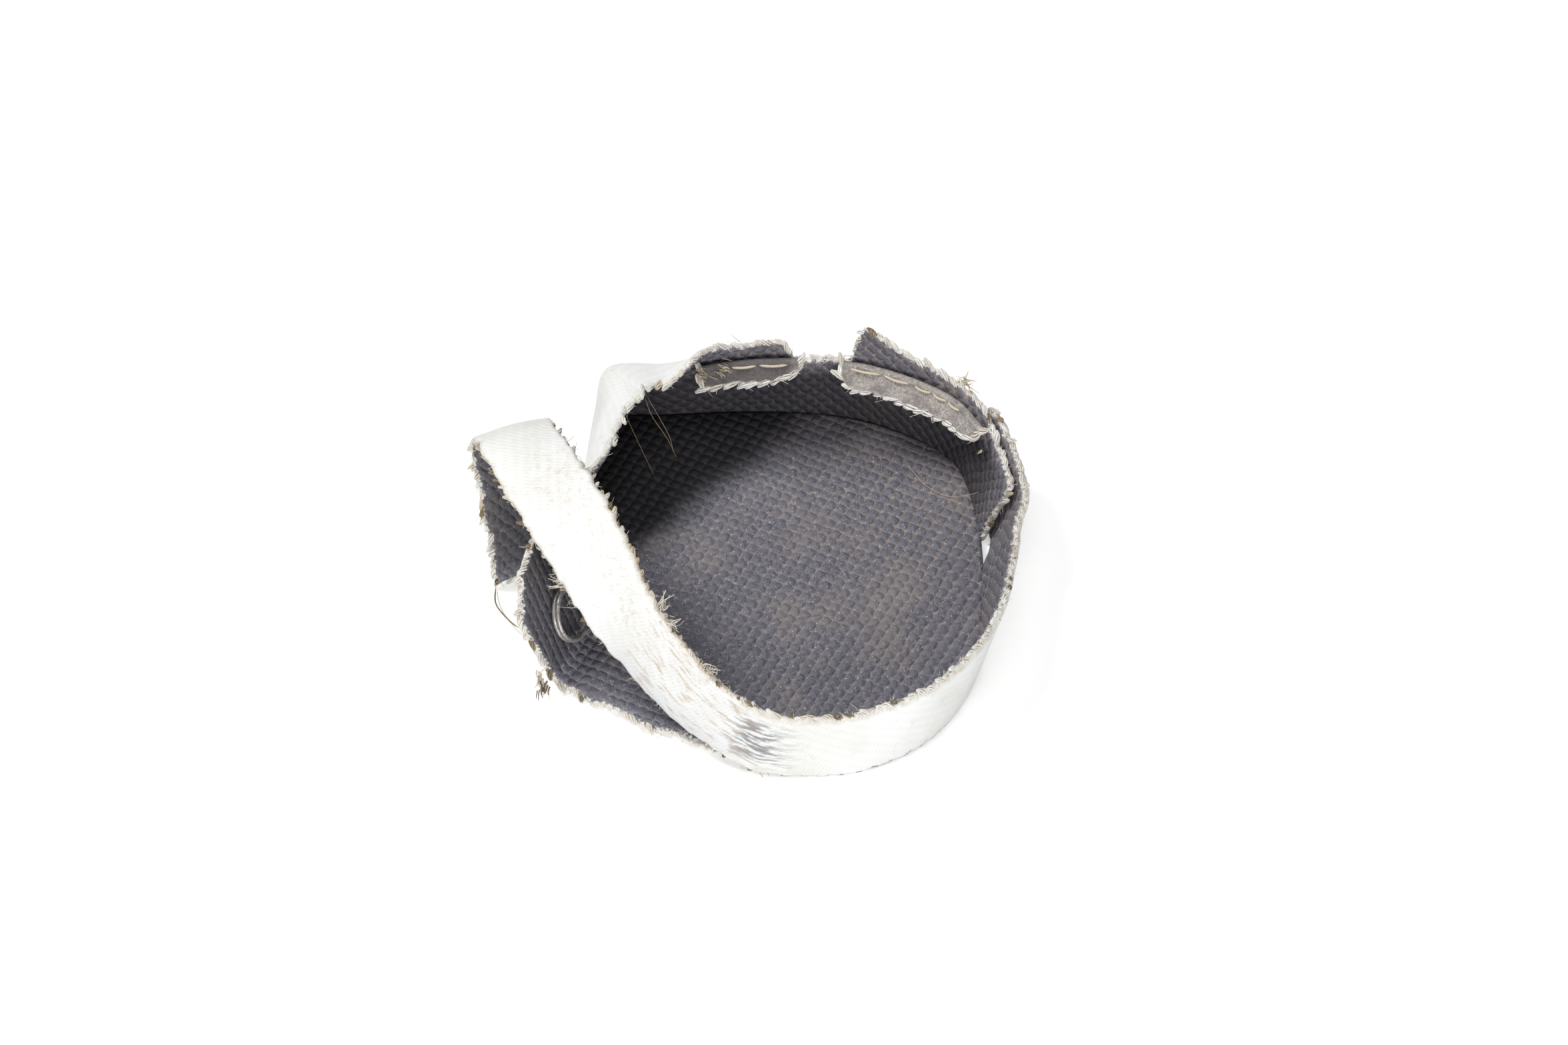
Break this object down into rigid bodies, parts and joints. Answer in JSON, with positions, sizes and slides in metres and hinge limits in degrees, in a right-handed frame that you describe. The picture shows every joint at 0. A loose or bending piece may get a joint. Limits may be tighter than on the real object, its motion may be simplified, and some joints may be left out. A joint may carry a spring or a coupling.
{
  "type": "throttle body heat shield",
  "caption": "Small sewn cup of woven glass cloth that shields a throttle body's housing from heat, worn and torn open, with a twisted strap over a tongue and a split ring.",
  "frame": {"origin": "middle of the floor panel's underside, on the surface that the cup stands on", "axes": "+Z out of the cup's open top; +Y towards the back wall, which is notched and sewn; -X towards the tongue, the strap's fold and the split ring"},
  "size_m": [0.0638, 0.0565, 0.0202],
  "materials": {
    "dark_cloth": "coarse plain weave, dark coated inner face, matte",
    "pale_cloth": "aluminised white outer face with a fine satin texture, stained",
    "worn_cloth": "worn grey-brown facing with frayed edges",
    "steel": "dull grey wire"
  },
  "bodies": {
    "root": {"floor_panel": "dark_cloth", "wall_band": "pale_cloth", "back_wall": "pale_cloth", "seam_strip_right": "worn_cloth", "seam_strip_left": "worn_cloth", "split_ring": "steel"}
  },
  "joints": []
}
